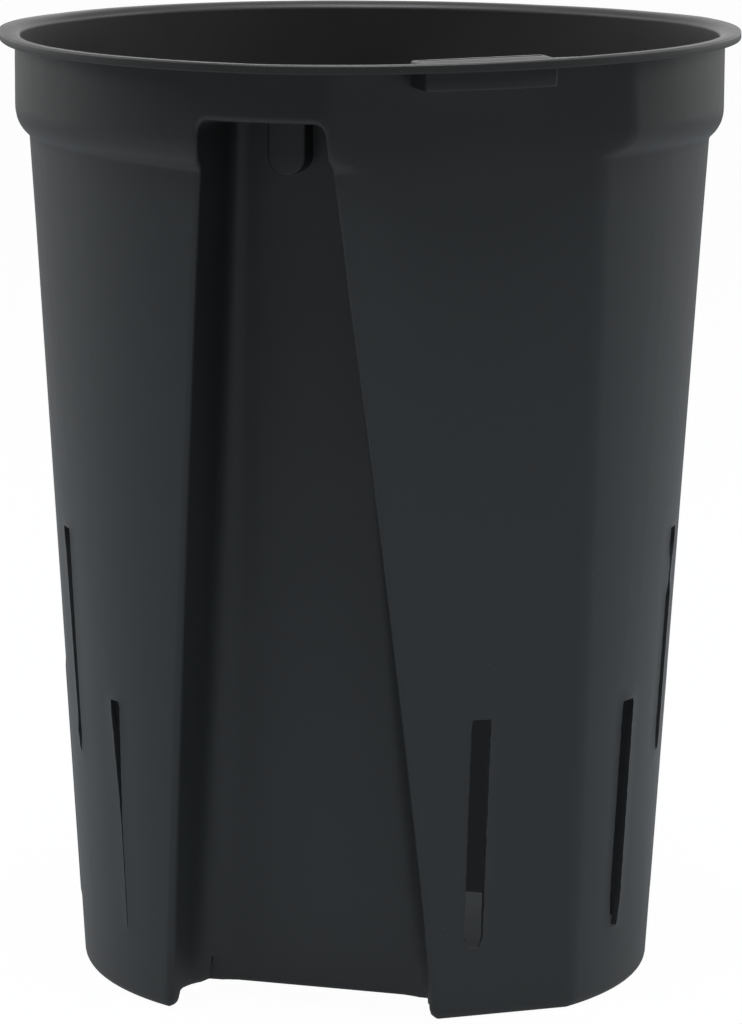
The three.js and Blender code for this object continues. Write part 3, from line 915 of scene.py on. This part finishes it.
rim.data.shade_smooth()
rim.data.set_sharp_from_angle(angle=math.radians(38.0))
print("rim with its web, boss and slit:", len(rim.data.polygons), "faces")

# %% [markdown]
# ## Label pocket, lugs and floor
# A label slips down through the slit, close to the flat panel, and a skirt in front of it keeps it there. A
# lug hangs under the head of each channel and keeps stacked pots from jamming.

# %% The route of the skirt: a flank, a corner, the front on an arc, a corner and a flank
POCKET_LOW = RIM_UNDERSIDE - 4.6
POCKET_CORNER = 1.3
POCKET_ROLL = 0.5
FLANK_START = LIP_DISTANCE + 0.7


def pocket_route():
    """Points of the skirt's outside in the panel's directions, each with its outward direction."""
    route = []
    for side in (-1.0, 1.0):
        u = POCKET_OFFSET + side * POCKET_HALF
        centre_u = u - side * POCKET_CORNER
        centre_v = math.sqrt((POCKET_RADIUS - POCKET_CORNER) ** 2 - centre_u ** 2)
        turn = math.degrees(math.atan2(centre_v, centre_u))
        flat = 180.0 if side < 0 else 0.0
        flank = [((u, FLANK_START + (centre_v - FLANK_START) * k / 4), (side, 0.0)) for k in range(4)]
        corner = []
        for k in range(9):
            a = math.radians(flat + (turn - flat) * k / 8)
            normal = (math.cos(a), math.sin(a))
            point = (centre_u + POCKET_CORNER * normal[0], centre_v + POCKET_CORNER * normal[1])
            corner.append((point, normal))
        if side < 0:
            route += flank + corner
            left_turn = turn
        else:
            arc = [math.radians(left_turn + (turn - left_turn) * k / 25) for k in range(1, 25)]
            route += [((POCKET_RADIUS * math.cos(a), POCKET_RADIUS * math.sin(a)),
                       (math.cos(a), math.sin(a))) for a in arc]
            route += corner[::-1] + flank[::-1]
    return route


# %% The skirt: a thin wall with a rolled lower edge, drawn along the route
SKIRT_TOP = RIM_UNDERSIDE + 0.2
SKIRT_STRAIGHT_FROM = POCKET_LOW + 3.0

roll = [(POCKET_ROLL * (1.0 + math.cos(a)), POCKET_LOW + POCKET_ROLL * (1.0 - math.sin(a)))
        for a in (math.radians(180.0 - 22.5 * k) for k in range(9))]
strip = [(0.0, SKIRT_TOP), (0.0, SKIRT_STRAIGHT_FROM)] + roll
strip += [(POCKET_SKIN, SKIRT_STRAIGHT_FROM), (POCKET_SKIN, SKIRT_TOP)]
pocket_points = []
for (u, v), (across, out) in pocket_route():
    pocket_points += [(*spun(u - across * depth, v - out * depth, PANEL_AZIMUTH), z) for depth, z in strip]
columns = len(pocket_points) // len(strip)
pocket = mesh_from("label_pocket_skirt", pocket_points, tube_faces(columns, len(strip)))
pocket.data.set_sharp_from_angle(angle=math.radians(50.0))
pocket.data.materials.append(plastic)
print("pocket:", len(pocket.data.polygons), "faces")

# %% The denesting lugs
LUG_WIDTH = 10.3
LUG_HEIGHT = 13.6
LUG_DEPTH = 6.2
LUG_ROLL = 0.7
LUG_ROOT = 0.8
LUG_SUNK = 0.4


def lug_outline(inset, ceiling):
    half = LUG_WIDTH / 2.0 - inset
    turn = ceiling - LUG_HEIGHT + LUG_WIDTH / 2.0
    arc = [math.radians(180.0 + 10.0 * k) for k in range(19)]
    bottom = [(half * math.cos(a), turn + half * math.sin(a)) for a in arc]
    return [(-half, ceiling + LUG_SUNK)] + bottom + [(half, ceiling + LUG_SUNK)]


def lug(name, azimuth):
    """A round-bottomed block on a channel's back wall, under its ceiling, with a rolled front edge."""
    ceiling = ceiling_of(azimuth)
    behind = body_radius(ceiling - LUG_HEIGHT) - CHANNEL_DEPTH - LUG_ROOT
    face = body_radius(ceiling) - CHANNEL_DEPTH + LUG_DEPTH
    steps = [(behind, 0.0), (face - LUG_ROLL, 0.0)]
    steps += [(face - LUG_ROLL * (1.0 - math.sin(a)), LUG_ROLL * (1.0 - math.cos(a)))
              for a in (math.radians(18.0 * k) for k in range(1, 6))]
    rings = [[(*spun(u, depth, azimuth), z) for u, z in lug_outline(inset, ceiling)]
             for depth, inset in steps]
    corners = [corner for ring in rings for corner in ring]
    piece = mesh_from(name, corners, tube_faces(len(rings), len(rings[0])))
    piece.data.set_sharp_from_angle(angle=math.radians(40.0))
    piece.data.materials.append(plastic)
    return piece


lugs = [lug("front_lug", CHANNEL_AZIMUTHS[0]), lug("rear_lug", CHANNEL_AZIMUTHS[1])]
print("lugs:", [len(piece.data.polygons) for piece in lugs])

# %% [markdown]
# The floor is a thin plate with rings of drain holes. The holes repeat and all come from one size, so
# Geometry Nodes set a circle on each hole's centre, fill the outline with the circles left open and give
# the plate its thickness. The outline is the inner edge of the skin, and the centres come from the record's
# openings.

# %% Outline and hole centres of the floor
centres = []
for opening in frame["record"]["physics"]["openings"]:
    if opening["name"].startswith("drain_hole"):
        low, high = opening["box_m"]
        centres.append(((low[0] + high[0]) / 2.0 / MM, (low[1] + high[1]) / 2.0 / MM, 0.0))
edge = [(x, y, 0.0) for x, y in outer[0, :, :2]]
floor_start = wire_mesh("floor_outline", edge + centres, loop(0, len(edge)))
floor_sizes = {"Thickness": WALL * MM, "Underside": FLOOR_UNDERSIDE * MM, "Hole radius": 0.005,
               "Hole steps": 32}
print("drain holes:", len(centres))

# %% The floor tree
plate = geometry_tree("drained_plate", floor_sizes)
start = plate["Mesh"]
neighbours = start.node("GeometryNodeInputMeshVertexNeighbors", {}, {})
lone = start.node("FunctionNodeCompare", {"data_type": "INT", "operation": "EQUAL"}, {2: neighbours, 3: 0})
spots = start.node("GeometryNodeMeshToPoints", {}, {"Mesh": start, "Selection": lone})
hole = start.node("GeometryNodeCurvePrimitiveCircle", {"mode": "RADIUS"},
                  {"Resolution": plate["Hole steps"], "Radius": plate["Hole radius"]})
holes = start.node("GeometryNodeInstanceOnPoints", {}, {"Points": spots, "Instance": hole})
holes = start.node("GeometryNodeRealizeInstances", {}, {0: holes})
border = start.node("GeometryNodeMeshToCurve", {}, {"Mesh": start})
curves = start.node("GeometryNodeJoinGeometry", {}, {0: [border, holes]})
sheet = start.node("GeometryNodeFillCurve", {"mode": "TRIANGLES"}, {"Curve": curves})
lift = start.node("ShaderNodeCombineXYZ", {}, {"Z": 1.0})
top = start.node("GeometryNodeExtrudeMesh", {"mode": "FACES"},
                 {"Mesh": sheet, "Offset": lift, "Offset Scale": plate["Thickness"], "Individual": False})
underside = start.node("GeometryNodeFlipFaces", {}, {"Mesh": sheet})
both = start.node("GeometryNodeJoinGeometry", {}, {0: [top, underside]})
both = start.node("GeometryNodeMergeByDistance", {}, {"Geometry": both, "Distance": 0.000005})
rise = start.node("ShaderNodeCombineXYZ", {}, {"Z": plate["Underside"]})
close_tree(plate, start.node("GeometryNodeTransform", {}, {"Geometry": both, "Translation": rise}))
floor = baked("drained_floor", floor_start, plate, floor_sizes)
floor.data.shade_flat()
print("floor:", len(floor.data.polygons), "faces from z", min(v.co.z for v in floor.data.vertices))

# %% [markdown]
# ## How this pot has warped
# No thin moulding stays true. This one has shrunk a little in height, its rim stands up over the label panel
# and its right side, and the ledge under the collar sags, most of all beside the front channel.

# %% The warp: rises and sags in millimetres at azimuths round the pot
SHRINK = 1.7
RIM_RISE = [(-180, 0.15), (-119, 0.5), (-90, 1.2), (-72, 0.5), (-60, 0.3), (-15, 0.25), (0, 0.6),
            (13, 0.95), (28, 1.35), (39, 1.6), (50, 1.7), (90, 1.7), (112, 1.35), (127, 0.75), (150, 0.25),
            (180, 0.15)]
LEDGE_SAG = [(-180, 1.2), (-90, 1.6), (-68, 1.4), (-51, 1.5), (-40, 1.8), (-29, 2.5), (-17, 2.2),
             (20, 0.5), (57, 0.1), (70, 0.6), (90, 1.6), (180, 1.2)]
SAG_FROM = 205.0
SAG_GROWS_OVER = 28.0
SAG_FADES_OVER = 7.0


def round_the_pot(azimuth, stops):
    return np.interp(azimuth, [stop[0] for stop in stops], [stop[1] for stop in stops])


def eased(share):
    """A share from 0 to 1 that starts and ends gently."""
    share = np.clip(share, 0.0, 1.0)
    return share * share * (3.0 - 2.0 * share)


def warped(piece):
    """Moves a piece's points up or down with the warp, by millimetres."""
    count = len(piece.data.vertices)
    co = np.zeros(3 * count)
    piece.data.vertices.foreach_get("co", co)
    co = co.reshape(-1, 3) / MM
    azimuth = np.degrees(np.arctan2(co[:, 0], -co[:, 1]))
    z = co[:, 2].copy()
    rise = round_the_pot(azimuth, RIM_RISE) * eased((z - CHAMFER_TOP) / (RIM_UNDERSIDE - CHAMFER_TOP))
    sag = (round_the_pot(azimuth, LEDGE_SAG) * eased((z - SAG_FROM) / SAG_GROWS_OVER)
           * eased((CHANNEL_CEILING - z) / SAG_FADES_OVER))
    co[:, 2] += rise - sag - SHRINK * z / RIM_TOP
    piece.data.vertices.foreach_set("co", (co * MM).ravel())
    piece.data.update()
    print(piece.name, "sinks by up to", round(float((z - co[:, 2]).max()), 2), "mm")


for piece in [pot_wall, rim, pocket] + lugs:
    warped(piece)

# %% [markdown]
# ## Studio and camera
# The photograph was taken in front of white paper, with a dark room behind the camera and above. The sides
# of the pot and the rim's flat top mirror the paper and turn bright at grazing angles, while the pot's
# front mirrors the room and the pale floor.

# %% The world: low white paper behind and beside, a dark room in front and above
ROOM_LIGHT = 0.004
PAPER_LIGHT = 1.85
DIFFUSE_SHARE = 0.5
PAPER_DEPTH = (0.0, 0.7)
PAPER_TOP = (0.26, 0.50)
ABOVE_PAPER = 0.12

world = bpy.data.worlds.new("studio")
bpy.context.scene.world = world
world.use_nodes = True
world.node_tree.nodes.clear()
sky = Wire(world.node_tree)
direction = sky.node("ShaderNodeTexCoord", {}, {}, output="Generated")


def ray(wire, kind):
    return wire.node("ShaderNodeLightPath", {}, {}, output=kind)


def soft_step(axis, span, low, high):
    """Eases from low to high while one axis of the direction runs through the span."""
    along = direction.node("ShaderNodeSeparateXYZ", {}, {0: direction}, output=axis)
    values = {"Value": along, "From Min": span[0], "From Max": span[1], "To Min": low, "To Max": high}
    return along.node("ShaderNodeMapRange", {"interpolation_type": "SMOOTHSTEP"}, values)


paper = soft_step("Y", PAPER_DEPTH, ROOM_LIGHT, PAPER_LIGHT)
below_edge = soft_step("Z", PAPER_TOP, 1.0, ABOVE_PAPER)
camera_ray = ray(sky, "Is Camera Ray")
mirrored = sky.maths("MAXIMUM", ray(sky, "Is Glossy Ray"), ray(sky, "Is Transmission Ray"))
level = paper * below_edge * (DIFFUSE_SHARE + (1.0 - DIFFUSE_SHARE) * mirrored)
level = camera_ray + (1.0 - camera_ray) * level
white = sky.node("ShaderNodeCombineColor", {}, {0: level, 1: level, 2: level})
background = sky.node("ShaderNodeBackground", {}, {"Color": white, "Strength": 1.0})
leave = world.node_tree.nodes.new("ShaderNodeOutputWorld")
world.node_tree.links.new(background.socket, leave.inputs["Surface"])

# %% The pale floor: white to the camera, but it keeps the pot's shadow
FLOOR_REACH = 6000.0
FLOOR_CORNERS = 60
FLOOR_WHITE = 0.94
FLOOR_GLOW = 0.225
FLOOR_COLOUR = (0.31, 0.35, 0.385, 1.0)
GLOW_STRENGTH = 1.04
turns = [math.radians(6.0 * k) for k in range(FLOOR_CORNERS)]
stage_floor = mesh_from("studio_floor", [(FLOOR_REACH * math.cos(a), FLOOR_REACH * math.sin(a), 0.0)
                                         for a in turns], [tuple(range(FLOOR_CORNERS))])
paper_floor = bpy.data.materials.new("pale_floor")
paper_floor.use_nodes = True
paper_floor.node_tree.nodes.clear()
pale = Wire(paper_floor.node_tree)
matte = pale.node("ShaderNodeBsdfDiffuse", {}, {"Color": FLOOR_COLOUR})
glow = pale.node("ShaderNodeEmission", {}, {"Color": (1.0, 1.0, 1.0, 1.0), "Strength": GLOW_STRENGTH})
white_share = FLOOR_GLOW + ray(pale, "Is Camera Ray") * (FLOOR_WHITE - FLOOR_GLOW)
surface = pale.node("ShaderNodeMixShader", {}, {0: white_share, 1: matte, 2: glow})
leave = paper_floor.node_tree.nodes.new("ShaderNodeOutputMaterial")
paper_floor.node_tree.links.new(surface.socket, leave.inputs["Surface"])
stage_floor.data.materials.append(paper_floor)


# %% Soft boxes: above, in front and at both sides
AIM = (0.0, 0.0, 0.1)


def soft_box(name, place, size, power):
    """A rectangular lamp that looks at the pot."""
    lamp = bpy.data.lights.new(name, "AREA")
    lamp.shape = "RECTANGLE"
    lamp.size, lamp.size_y = size
    lamp.energy = power
    obj = placed(name, lamp)
    obj.location = place
    obj.rotation_euler = (Vector(AIM) - Vector(place)).to_track_quat("-Z", "Y").to_euler()


soft_box("top_box", (0.0, -0.1, 1.6), (0.8, 0.8), 8.0)
soft_box("front_box", (0.0, -0.42, 1.6), (0.7, 0.35), 14.0)
soft_box("left_box", (-1.0, 0.2, 0.9), (0.6, 0.6), 5.0)
soft_box("right_box", (1.0, 0.2, 0.9), (0.6, 0.6), 5.0)
bpy.context.scene.view_settings.view_transform = "Standard"

# %% The camera
CAMERA_PLACE = (0.0, -1.35343, RIM_TOP * MM + 0.12047)
CAMERA_TILT = math.radians(90.0 - 10.628)
CAMERA_TURN = math.radians(-0.0403)
CAMERA_ROLL = math.radians(0.3)
IMAGE_HEIGHT = 1024.0
FOCAL_PIXELS = 5012.0

camera_data = bpy.data.cameras.new("camera")
camera_data.sensor_fit = "VERTICAL"
camera_data.sensor_height = 24.0
camera_data.lens = camera_data.sensor_height * FOCAL_PIXELS / IMAGE_HEIGHT
camera = placed("camera", camera_data)
camera.location = CAMERA_PLACE
upright = Euler((CAMERA_TILT, 0.0, CAMERA_TURN)).to_matrix()
camera.rotation_euler = (upright @ Matrix.Rotation(CAMERA_ROLL, 3, "Z")).to_euler()
bpy.context.scene.camera = camera

# %% [markdown]
# ## The pieces on the body
# Every piece rides on the one body. Together they stand for all nodes of the CAD model, whose fine seams
# only part the moulding into regions.

# %% Each piece rides on the body and stands for its nodes
lug_nodes = [name for name in frame["nodes"] if name.endswith("denesting_lug")]
own_nodes = lug_nodes + ["rim_flange", "label_pocket", "floor"]
skin_nodes = [name for name in frame["nodes"] if name not in own_nodes]
stands_for = [(pot_wall, skin_nodes), (rim, ["rim_flange"]), (pocket, ["label_pocket"]), (floor, ["floor"])]
stands_for += [(piece, [name]) for piece, name in zip(lugs, sorted(lug_nodes))]
for piece, nodes in stands_for:
    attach(piece, "root")
    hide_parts(*nodes)
    print(piece.name, "stands for", nodes)
